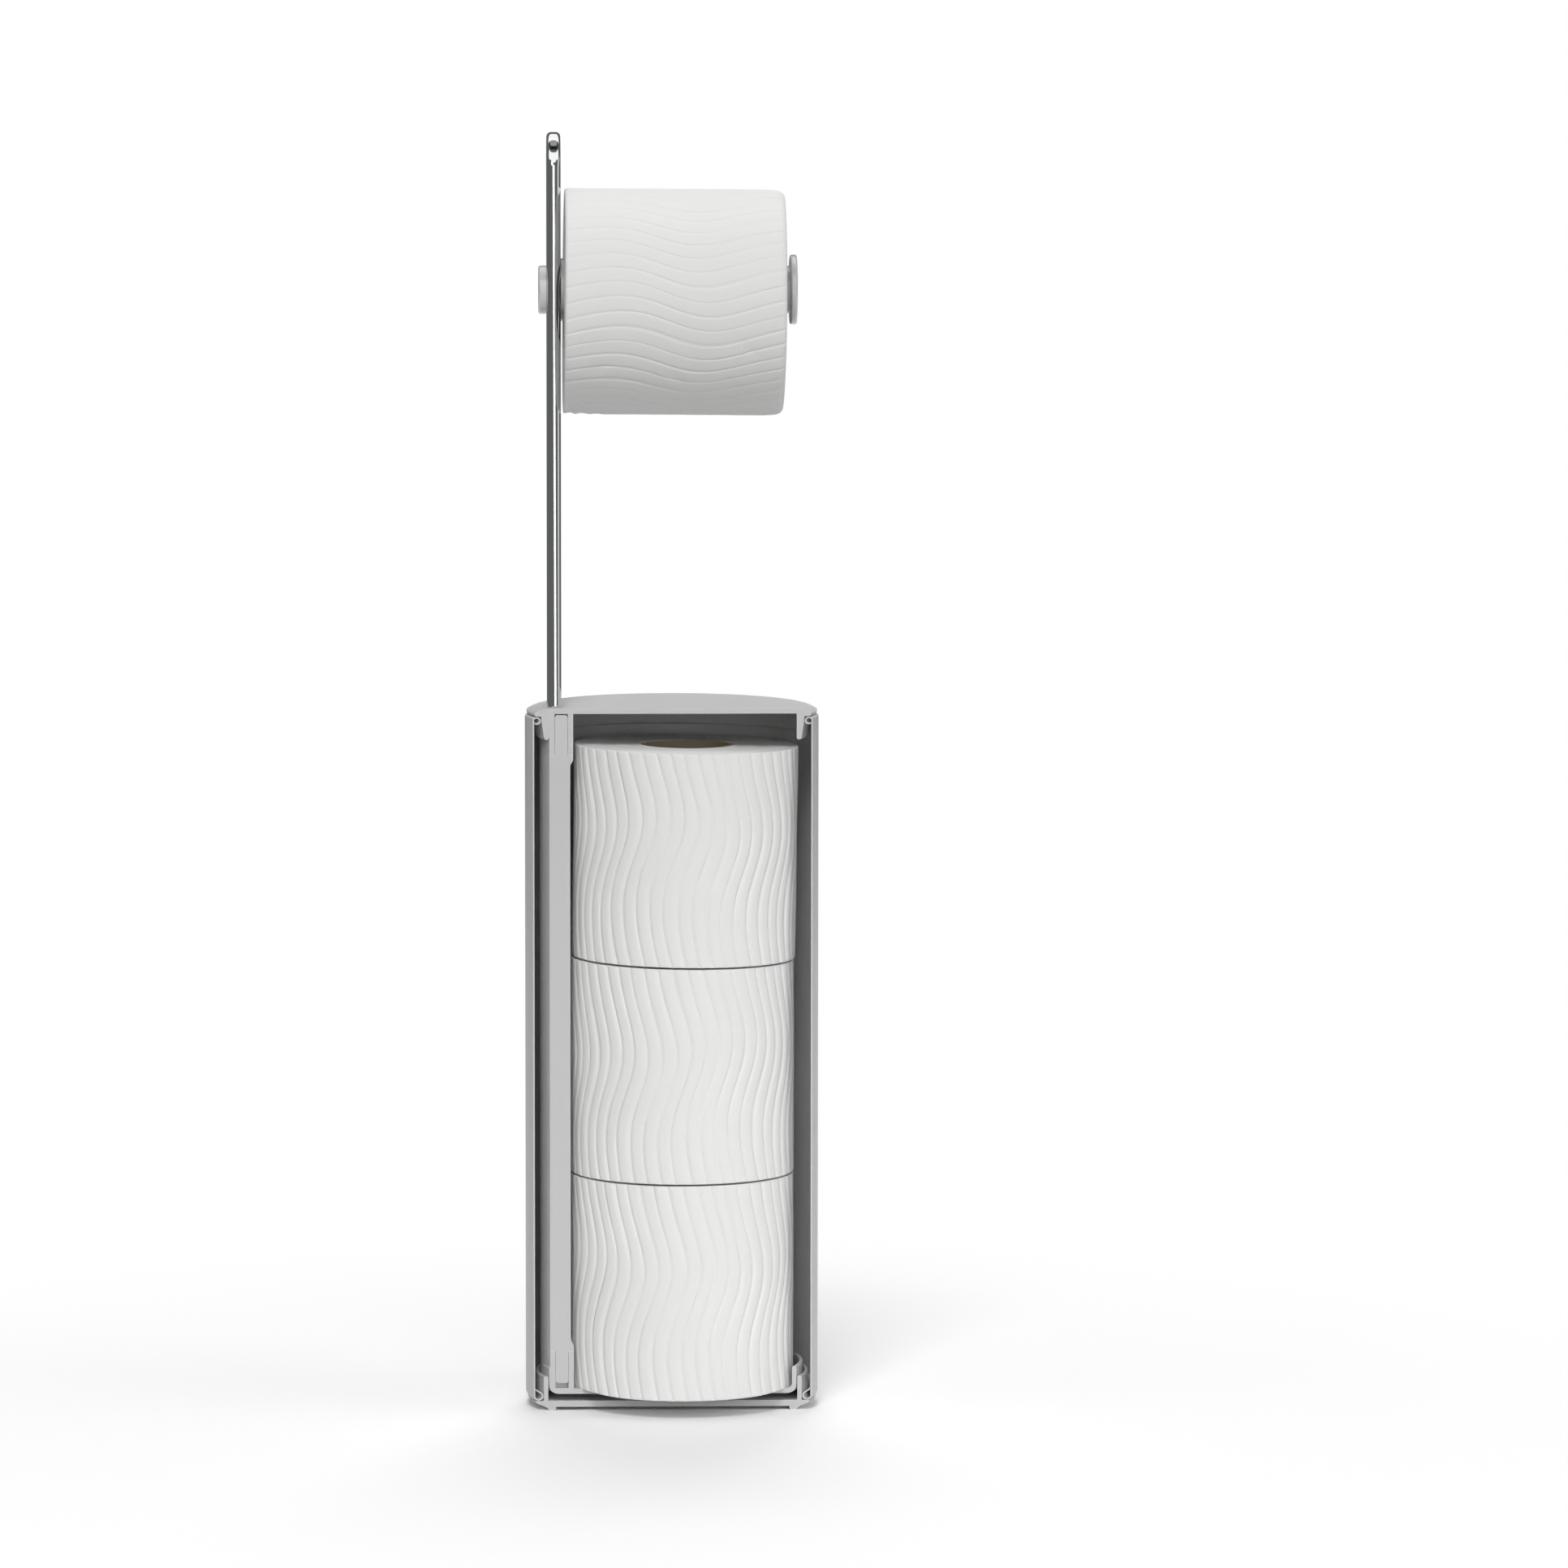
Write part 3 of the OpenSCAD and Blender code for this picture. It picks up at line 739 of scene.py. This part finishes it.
def emboss(piece, roll, paper, press, crest, seed, shape):
    """Presses the wavy grooves into a wound tube. The mesh's columns follow the grooves, so that
    each groove has edges along it. crest is how far along the roll a groove swings furthest, seed
    makes one roll differ from the next, and shape turns radius, angle, height and how much of a
    vertex is on the wound face into x, y and z. Two attributes tell the finish where the end faces
    are and at what radius a layer was wound."""
    mesh = piece.data
    co = coordinates(mesh)
    r = np.hypot(co[:, 0], co[:, 1])
    theta = np.arctan2(co[:, 1], co[:, 0]) % (2 * math.pi)
    z = co[:, 2].copy()
    upper = z >= roll.width / 2

    # The columns, evenly spaced when the tube was spun, crowd towards the grooves
    pitch = 2 * math.pi * roll.outer_r / paper.grooves
    beside = BESIDE_GROOVE * press.width
    spots = np.array([0, *beside, pitch / 2, *(pitch - beside[::-1])])
    column = np.rint(theta / (2 * math.pi) * paper.grooves * COLUMNS_PER_GROOVE).astype(int)
    groove, place = np.divmod(column, COLUMNS_PER_GROOVE)
    off = np.minimum(spots[place], pitch - spots[place])
    base = (groove * pitch + spots[place]) / roll.outer_r

    # The grooves swing from side to side along the roll, a little differently round it
    drift = SLOW_DRIFT * np.sin(base * 2 + seed) + FAST_DRIFT * np.sin(base * 5 + 2 * seed)
    phase = 2 * math.pi * (z - crest - drift) / paper.wave_length
    wave = np.cos(phase) + SECOND_WAVE * np.cos(2 * phase + SECOND_PHASE)
    uneven = UNEVEN * np.sin(groove * GOLDEN_ANGLE + seed) * np.sin(z / UNEVEN_LENGTH + groove)
    angle = base + (paper.wave_height * wave + uneven) / roll.outer_r

    # The wound face sinks in the grooves and rises between them
    edge = np.where(upper, roll.high_edge, roll.low_edge)
    wall = smooth((r - (roll.outer_r - edge)) / edge)
    deep = press.depth * (1 + press.deeper * np.cos(base))
    deep = deep * np.exp(-((off / (0.5 * press.width)) ** 2))
    deep = deep * (1 - DEPTH_VARIES * (1 - np.sin(groove * 1.7 + z / DEPTH_LENGTH)))
    rise = paper.pillow * (1 - np.cos(2 * math.pi * off / pitch)) / 2 - paper.pillow
    pressed = r + wall * (rise - deep)

    # The paper never lies on a true cylinder
    points = np.stack([np.cos(angle), np.sin(angle)], 1) * LUMPS_ROUND
    lump = np.array(
        [noise.noise(Vector((p[0] + seed, p[1], h / LUMP_HEIGHT))) for p, h in zip(points, z)]
    )
    pressed = pressed - wall * SOFTNESS * (0.6 + 0.6 * lump)

    # The layers' edges make rings in the end faces, which fade out at the rim and at the core
    inside_rim = smooth((roll.outer_r - 0.5 * edge - r) / RIM_FADE)
    flat = inside_rim * smooth((r - roll.hole_r) / CORE_FADE)
    on_end = (z < NEAR) | (z > roll.width - NEAR)
    ring = RING_HEIGHT * (1 + np.sin(r / RING_SPACING + seed + 1.5 * lump)) / 2
    ring = ring + DENT_DEPTH * (1 + lump)
    z = np.where(on_end, z + np.where(upper, -1, 1) * ring * flat, z)

    move_vertices(mesh, np.stack(shape(pressed, angle, z, wall), 1))
    normals = np.array([v.normal.z for v in mesh.vertices])
    facts = {"end_face": smooth(np.abs(normals) * 2 - 0.9), "wound_radius": r}
    for key, values in facts.items():
        layer = mesh.attributes.new(key, "FLOAT", "POINT")
        layer.data.foreach_set("value", values.astype(np.float32))


def settings():
    scene = bpy.context.scene
    return scene.holder_paper, scene.holder_finish, scene.holder_stage


def grey_moulding(colours):
    return finish_of("grey moulding", moulding_finish, colours.moulding, colours)


class HOLDER_OT_housing(bpy.types.Operator):
    """Finish the housing's shell and base"""

    bl_idname = "holder.housing"
    bl_label = "Housing"

    def execute(self, context):
        _, colours, _ = settings()
        dress("housing_shell", finish_of("housing paint", paint_finish, colours))
        dress("base_moulding", grey_moulding(colours))
        return {"FINISHED"}


class HOLDER_OT_carrier(bpy.types.Operator):
    """Finish the lid, the post and the tray"""

    bl_idname = "holder.carrier"
    bl_label = "Carrier"

    def execute(self, context):
        _, colours, _ = settings()
        for node in ("carrier_post", "tray"):
            dress(node, grey_moulding(colours))
        dress("lid", finish_of("lid moulding", moulding_finish, colours.lid, colours))
        return {"FINISHED"}


class HOLDER_OT_metalwork(bpy.types.Operator):
    """Finish the wire loop, its nuts and the roll arm"""

    bl_idname = "holder.metalwork"
    bl_label = "Loop and arm"

    def execute(self, context):
        _, colours, _ = settings()
        dress("wire_loop", finish_of("chrome wire", chrome_finish, colours))
        for node in ("loop_nuts", "arm_clamp_stud"):
            dress(node, finish_of("zinc steel", zinc_finish, colours))
        for node in ("arm_back_cap", "arm_end_disc"):
            dress(node, finish_of("satin metal", satin_finish, colours.satin))
        dress("arm_barrel", finish_of("satin plastic", satin_finish, colours.barrel))
        return {"FINISHED"}


# How far each stored roll, from below, stands beside the middle of the store in mm, how far it is
# turned in degrees, and how far along it the grooves swing furthest, as a share of its width
SLIDES = (-1.9, -1.8, -1.2)
TURNS = (3.0, -2.2, 0.0)
CRESTS = (0.645, 0.63, 0.66)
FIRST_SEED, SEED_STEP = 1.3, 2.1

# How far the stack's foot, its two joints and its head have sunk, in mm
SUNK = (0, 1.2, 1.1, 2.0)

# The lowest foot rests on the tray and sags only in front, where the tray is cut away. The rolls
# rest on each other near their cores, and a gap is left round the outside
SAG, SAG_FROM, SAG_OVER = 0.9 * MM, 20 * MM, 25 * MM
GAP = 0.85 * MM

# The top roll's paper stands off its core at one side, by this much, and this far into the paper
OFF_CORE, OFF_CORE_DEPTH = 2.2 * MM, 7 * MM
OFF_CORE_TURN, OFF_CORE_SPREAD = math.radians(24), math.radians(34)

# A roll's slope changes from its foot's to its head's above this share of its width
SLOPE_CHANGES = 0.7

# The top core is a little oval, and dented on the same side. Angles are in radians from +X, and
# depths are shares of its radius
CORE_WALL, CORE_EDGE = 1 * MM, 0.25 * MM
CORE_COLUMNS, CORE_ROWS = 96, 6
OVAL, OVAL_TURN = 0.012, 0.6
DENT, DENT_TURN, DENT_SPREAD = 0.02, 0.42, 0.5


def stored_shape(roll, foot, head, place):
    """The top roll leans, stands off its core at one side, and presses into the roll below it.
    foot and head are the slopes of the roll's two ends along X, and place counts from below."""

    def shape(r, angle, z, wall):
        x, y = r * np.cos(angle), r * np.sin(angle)
        along = z / roll.width
        paper = smooth((r - roll.hole_r) / (roll.outer_r - roll.hole_r))
        slope = foot + (head - foot) * smooth((along - SLOPE_CHANGES) / (1 - SLOPE_CHANGES))
        z = z - slope * x - (SUNK[place] * (1 - along) + SUNK[place + 1] * along) * MM
        if place == 0:
            z = z - SAG * (1 - along) * smooth((-y - SAG_FROM) / SAG_OVER)
        else:
            z = z + GAP * (1 - along) * paper
        x = x + SLIDES[place] * MM * paper
        if foot:
            x = x + foot * z * paper
            off_core = hill(wrapped(angle - OFF_CORE_TURN), 0, OFF_CORE_SPREAD)
            bore = smooth(1 - (r - roll.hole_r) / OFF_CORE_DEPTH) * smooth(z / roll.width)
            x = x + OFF_CORE * off_core * bore * np.cos(angle)
            y = y + OFF_CORE * off_core * bore * np.sin(angle)
        return x, y, z

    return shape


class HOLDER_OT_stored_rolls(bpy.types.Operator):
    """Wind and emboss the rolls in the store"""

    bl_idname = "holder.stored_rolls"
    bl_label = "Stored rolls"

    def execute(self, context):
        paper, colours, _ = settings()
        tissue = finish_of("tissue", tissue_finish, colours)
        press = Press(paper.groove_depth, paper.groove_width, 0)
        lean = math.tan(paper.lean)
        stored = sorted(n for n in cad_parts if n.startswith("stored_roll_"))
        for i, node in enumerate(stored):
            low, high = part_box(node)
            core_low, core_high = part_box(node.replace("roll", "core"))
            centre = (low + high) / 2
            outer_r, hole_r = (high.x - low.x) / 2, (core_high.x - core_low.x) / 2
            roll = Roll(high.z - low.z, outer_r, hole_r, paper.edge, paper.edge)
            columns = paper.grooves * COLUMNS_PER_GROOVE
            piece = wound_tube(f"tissue_stored_{i + 1}", roll, columns, paper.rows)
            foot = lean if node == stored[-1] else 0
            head = lean if node in stored[-2:] else 0
            shape = stored_shape(roll, foot, head, i)
            seed = FIRST_SEED + SEED_STEP * i
            emboss(piece, roll, paper, press, roll.width * CRESTS[i], seed, shape)
            piece.location = (centre.x, centre.y, low.z)
            piece.rotation_euler.z = math.radians(TURNS[i])
            complete(piece, tissue)
            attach(piece, "carrier")
            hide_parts(node)
            board = finish_of("core board upright", board_finish, colours, True, centre)
            dress(node.replace("roll", "core"), board)
        self.top_core(board)
        return {"FINISHED"}

    def top_core(self, board):
        """The core that is seen from above is a little oval and has sunk with its roll."""
        low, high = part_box("stored_core_3")
        outer_r = (high.x - low.x) / 2
        bottom, top = low.z - SUNK[-2] * MM, high.z - (SUNK[-1] + 0.1) * MM
        core = Roll(top - bottom, outer_r, outer_r - CORE_WALL, CORE_EDGE, CORE_EDGE)
        piece = wound_tube("board_core_top", core, CORE_COLUMNS, CORE_ROWS)
        co = coordinates(piece.data)
        angle = np.arctan2(co[:, 1], co[:, 0])
        oval = OVAL * np.cos(2 * angle + OVAL_TURN)
        dent = DENT * hill(wrapped(angle - DENT_TURN), 0, DENT_SPREAD)
        co[:, :2] *= (1 - oval - dent)[:, None]
        move_vertices(piece.data, co)
        piece.location = ((low.x + high.x) / 2, (low.y + high.y) / 2, bottom)
        complete(piece, board)
        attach(piece, "carrier")
        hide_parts("stored_core_3")


# The roll in use is pressed deeper below, by this share, and its grooves swing furthest here
USED_DEEPER = 0.3
USED_CREST = 0.62
USED_SEED = 4.4

# It has loose pleats below, at its end that faces the loop, and their spacing is uneven
PLEAT_DEPTH, PLEAT_PITCH, PLEAT_REACH = 1.0 * MM, 7.2 * MM, 26 * MM
PLEAT_TURN, PLEAT_SPREAD = math.radians(-8), math.radians(48)
PLEAT_DRIFT, PLEAT_DRIFT_LENGTH = 2.2, 9 * MM

# Its creases: the middle along the roll, as a share of its width, and round it, in degrees up
# from the front, the reach along the roll and the depth in mm, and the slant
CREASES = (
    (0.83, 22, 9, 0.55, 0.9),
    (0.34, -2, 7, 0.35, 0.1),
    (0.50, 40, 8, 0.45, 0.8),
    (0.17, 33, 10, 0.40, -0.4),
)
CREASE_WIDTH, CREASE_REACH = 1.6 * MM, 8 * MM

# The paper sags a little over the end that faces the disc
USED_SAG, USED_SAG_REACH = 0.5 * MM, 9 * MM


def used_shape(roll, paper):
    """The roll in use is pleated, creased and droops. Laid down along X, an angle of 0 points
    down and a quarter turn points to the back."""

    def shape(r, angle, z, wall):
        waves = 2 * math.pi * z / PLEAT_PITCH + PLEAT_DRIFT * np.sin(z / PLEAT_DRIFT_LENGTH)
        pleats = (1 - np.cos(waves)) / 2 * smooth(1 - z / PLEAT_REACH)
        r = r - wall * PLEAT_DEPTH * hill(wrapped(angle), PLEAT_TURN, PLEAT_SPREAD) * pleats
        from_front = wrapped(angle + math.pi / 2)
        for at, turn, along, depth, slant in CREASES:
            across = (from_front - math.radians(turn)) * roll.outer_r
            line = across - slant * (z - at * roll.width)
            ridge = np.exp(-((line / CREASE_WIDTH) ** 2))
            reach = hill(z, at * roll.width, along * MM)
            reach = reach * smooth(2 - np.abs(across) / CREASE_REACH)
            r = r - wall * depth * MM * ridge * reach
        r = r - wall * USED_SAG * smooth(1 - (roll.width - z) / USED_SAG_REACH)
        x, y = r * np.cos(angle), r * np.sin(angle)
        loose = smooth((r - roll.hole_r) / (roll.outer_r - roll.hole_r))
        droop, yaw = loose * math.tan(paper.droop), loose * math.tan(paper.yaw)
        half = z - roll.width / 2
        return x + half * droop, y + half * yaw, z - x * droop - y * yaw

    return shape


class HOLDER_OT_open_roll(bpy.types.Operator):
    """Wind, emboss and crumple the roll on the arm"""

    bl_idname = "holder.open_roll"
    bl_label = "Roll in use"

    def execute(self, context):
        paper, colours, _ = settings()
        low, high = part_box("open_roll")
        core_low, core_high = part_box("open_core")
        centre = (low + high) / 2
        outer_r, hole_r = (high.z - low.z) / 2, (core_high.z - core_low.z) / 2
        roll = Roll(high.x - low.x, outer_r, hole_r, paper.used_edge, paper.loose_edge)
        columns = paper.grooves * COLUMNS_PER_GROOVE
        piece = wound_tube("tissue_in_use", roll, columns, paper.rows)
        press = Press(paper.used_depth, paper.used_width, USED_DEEPER)
        crest = roll.width * USED_CREST
        emboss(piece, roll, paper, press, crest, USED_SEED, used_shape(roll, paper))
        piece.location = (low.x, centre.y, centre.z)
        piece.rotation_euler = (0, math.pi / 2, 0)
        complete(piece, finish_of("tissue", tissue_finish, colours))
        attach(piece, "roll_in_use")
        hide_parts("open_roll")
        dress("open_core", finish_of("core board level", board_finish, colours, False, centre))
        return {"FINISHED"}


# Each lamp's name, place, width, aim and spread in degrees. Its power is a setting
MIDDLE = (0, 0, 0.3)
FOOT = (0, 0, 0.07)
LAMPS = (
    ("top", (0.05, -0.40, 2.6), 0.5, MIDDLE, 180),
    ("high", (-0.4, -2.1, 2.3), 0.8, MIDDLE, 180),
    ("front", (0.3, -3.0, 0.9), 1.6, MIDDLE, 180),
    ("left", (-2.2, -0.6, 0.9), 1.3, MIDDLE, 180),
    ("right", (2.2, -0.6, 0.9), 1.3, MIDDLE, 180),
    ("back", (0.0, 1.2, 2.4), 1.0, MIDDLE, 180),
    ("rear", (0.4, 2.6, 1.3), 1.4, MIDDLE, 180),
    ("low", (0.25, -1.0, 0.15), 0.35, FOOT, 45),
)


def look_at(thing, at, aim):
    """Puts a camera or lamp in its place and points it at its aim."""
    thing.location = at
    thing.rotation_euler = (Vector(aim) - Vector(at)).to_track_quat("-Z", "Y").to_euler()
    bpy.context.scene.collection.objects.link(thing)


def soft_box(name, at, size, aim, spread, power):
    """A square area lamp that lights the object but isn't mirrored in it."""
    lamp = bpy.data.lights.new(name, "AREA")
    lamp.shape, lamp.size, lamp.energy = "SQUARE", size, power
    lamp.spread = math.radians(spread)
    holder = bpy.data.objects.new(name, lamp)
    holder.visible_glossy = False
    look_at(holder, at, aim)


def studio_world(stage):
    """White where the camera or a mirror looks, and a soft light, more from above, for the rest."""
    scene = bpy.context.scene
    scene.world = bpy.data.worlds.new("studio")
    f = Finish(scene.world, "ShaderNodeOutputWorld")
    direction = f.node("ShaderNodeTexCoord", output=0)
    up = f.node("ShaderNodeSeparateXYZ", None, [direction], 2)
    soft = stage.ambient + up.step(0.0, 0.9) * stage.sky
    level = soft + f.seen_ray() * (1 - soft)
    f.finish_with(f.node("ShaderNodeBackground", None, {"Color": WHITE, "Strength": level}))


# The floor's radius, and the distances from its middle over which it gets darker for what it lights
# and fades to white for what sees it
FLOOR_R = 9
FLOOR_DARKENS = (0.35, 0.8)
FLOOR_FADES = (0.06, 0.55)


def studio_floor(stage):
    """A pale floor that takes the object's shadow and fades to white further away."""
    clear_selection()
    bpy.ops.mesh.primitive_circle_add(vertices=96, radius=FLOOR_R, fill_type="NGON")
    floor = bpy.context.object
    floor.name = "floor"
    f = new_finish("pale floor")
    x, y, _ = f.place()
    away = (x * x + y * y).root()
    seen = f.seen_ray()
    bounce = f.mix(away.step(*FLOOR_DARKENS), tuple(stage.floor), linear(0.45))
    bright = f.node(
        "ShaderNodeVectorMath", {"operation": "SCALE"}, {0: WHITE, "Scale": stage.floor_seen}
    )
    matt = f.node("ShaderNodeBsdfDiffuse", None, {"Color": f.mix(seen, bounce, bright)})
    white = f.node("ShaderNodeEmission", None, {"Color": WHITE, "Strength": 1.0})
    fade = away.step(*FLOOR_FADES) * seen
    f.finish_with(f.node("ShaderNodeMixShader", None, [fade, matt, white]))
    floor.data.materials.append(f.owner)


SCREENS_R = 2.6
SCREENS_HEIGHT = 0.45
SCREENS_DARK = 0.14


def studio_flags():
    """Dark screens with soft boxes between them, seen only in polished surfaces. Places on them
    are the angle up from level and the angle to the side, from the camera's side of the object."""
    clear_selection()
    bpy.ops.mesh.primitive_uv_sphere_add(segments=48, ring_count=24, radius=SCREENS_R)
    flags = bpy.context.object
    flags.name = "screens"
    bpy.ops.object.shade_smooth()
    f = new_finish("screens")
    x, y, z = f.place()
    up = z.angle_to((x * x + y * y).root())
    bearing = x.angle_to(0 - y)
    side = abs(bearing)
    aslant = abs(bearing - math.radians(0.5) + up * 1.15)
    front = (side < math.radians(70)) * up.between(13, 47)
    back = (side > math.radians(110)) * up.between(42, 82)
    strip = (aslant < math.radians(8)) * up.between(-40, 13)
    beside = bearing.between(63, 107) * up.between(-40, 9)
    ceiling = up > math.radians(73)
    black = (side < math.radians(90)) * up.between(57, 70)
    light = (front + back) * 1.1 + strip * 1.7 + beside * 0.6 + ceiling * 0.25
    strength = SCREENS_DARK + light - black * 0.12
    f.finish_with(f.node("ShaderNodeEmission", None, {"Color": WHITE, "Strength": strength}))
    flags.data.materials.append(f.owner)
    flags.location.z = SCREENS_HEIGHT
    for ray in ("camera", "diffuse", "transmission", "volume_scatter", "shadow"):
        setattr(flags, "visible_" + ray, False)


class HOLDER_OT_stage(bpy.types.Operator):
    """Set up the camera, the light and the floor"""

    bl_idname = "holder.stage"
    bl_label = "Studio"

    def execute(self, context):
        _, _, stage = settings()
        scene = context.scene
        camera = bpy.data.objects.new("camera", bpy.data.cameras.new("camera"))
        camera.data.lens, camera.data.sensor_width = stage.lens, 36
        camera.data.clip_start, camera.data.clip_end = 0.1, 100
        camera.data.shift_x = stage.shift
        look_at(camera, stage.camera_at, stage.camera_to)
        scene.camera = camera
        scene.view_settings.view_transform = "Standard"
        for name, *facts in LAMPS:
            soft_box(name + " light", *facts, getattr(stage, name))
        studio_world(stage)
        studio_floor(stage)
        studio_flags()
        return {"FINISHED"}


class HOLDER_PT_sidebar(bpy.types.Panel):
    """The holder's pieces and their settings"""

    bl_label = "Roll Holder"
    bl_space_type = "VIEW_3D"
    bl_region_type = "UI"
    bl_category = "Roll Holder"

    def draw(self, context):
        for step in STEPS:
            self.layout.operator(step.bl_idname)
        for group in settings():
            box = self.layout.box()
            for key in group.__annotations__:
                box.prop(group, key)


STEPS = (
    HOLDER_OT_stage,
    HOLDER_OT_housing,
    HOLDER_OT_carrier,
    HOLDER_OT_metalwork,
    HOLDER_OT_stored_rolls,
    HOLDER_OT_open_roll,
)
GROUPS = {
    "holder_paper": PaperSettings,
    "holder_finish": FinishSettings,
    "holder_stage": StageSettings,
}


def register():
    for made in (*GROUPS.values(), *STEPS, HOLDER_PT_sidebar):
        bpy.utils.register_class(made)
    for name, group in GROUPS.items():
        setattr(bpy.types.Scene, name, PointerProperty(type=group))


def unregister():
    for name in GROUPS:
        delattr(bpy.types.Scene, name)
    for made in reversed((*GROUPS.values(), *STEPS, HOLDER_PT_sidebar)):
        bpy.utils.unregister_class(made)


def main():
    register()
    for step in STEPS:
        group, name = step.bl_idname.split(".")
        getattr(getattr(bpy.ops, group), name)()


if __name__ == "__main__":
    main()
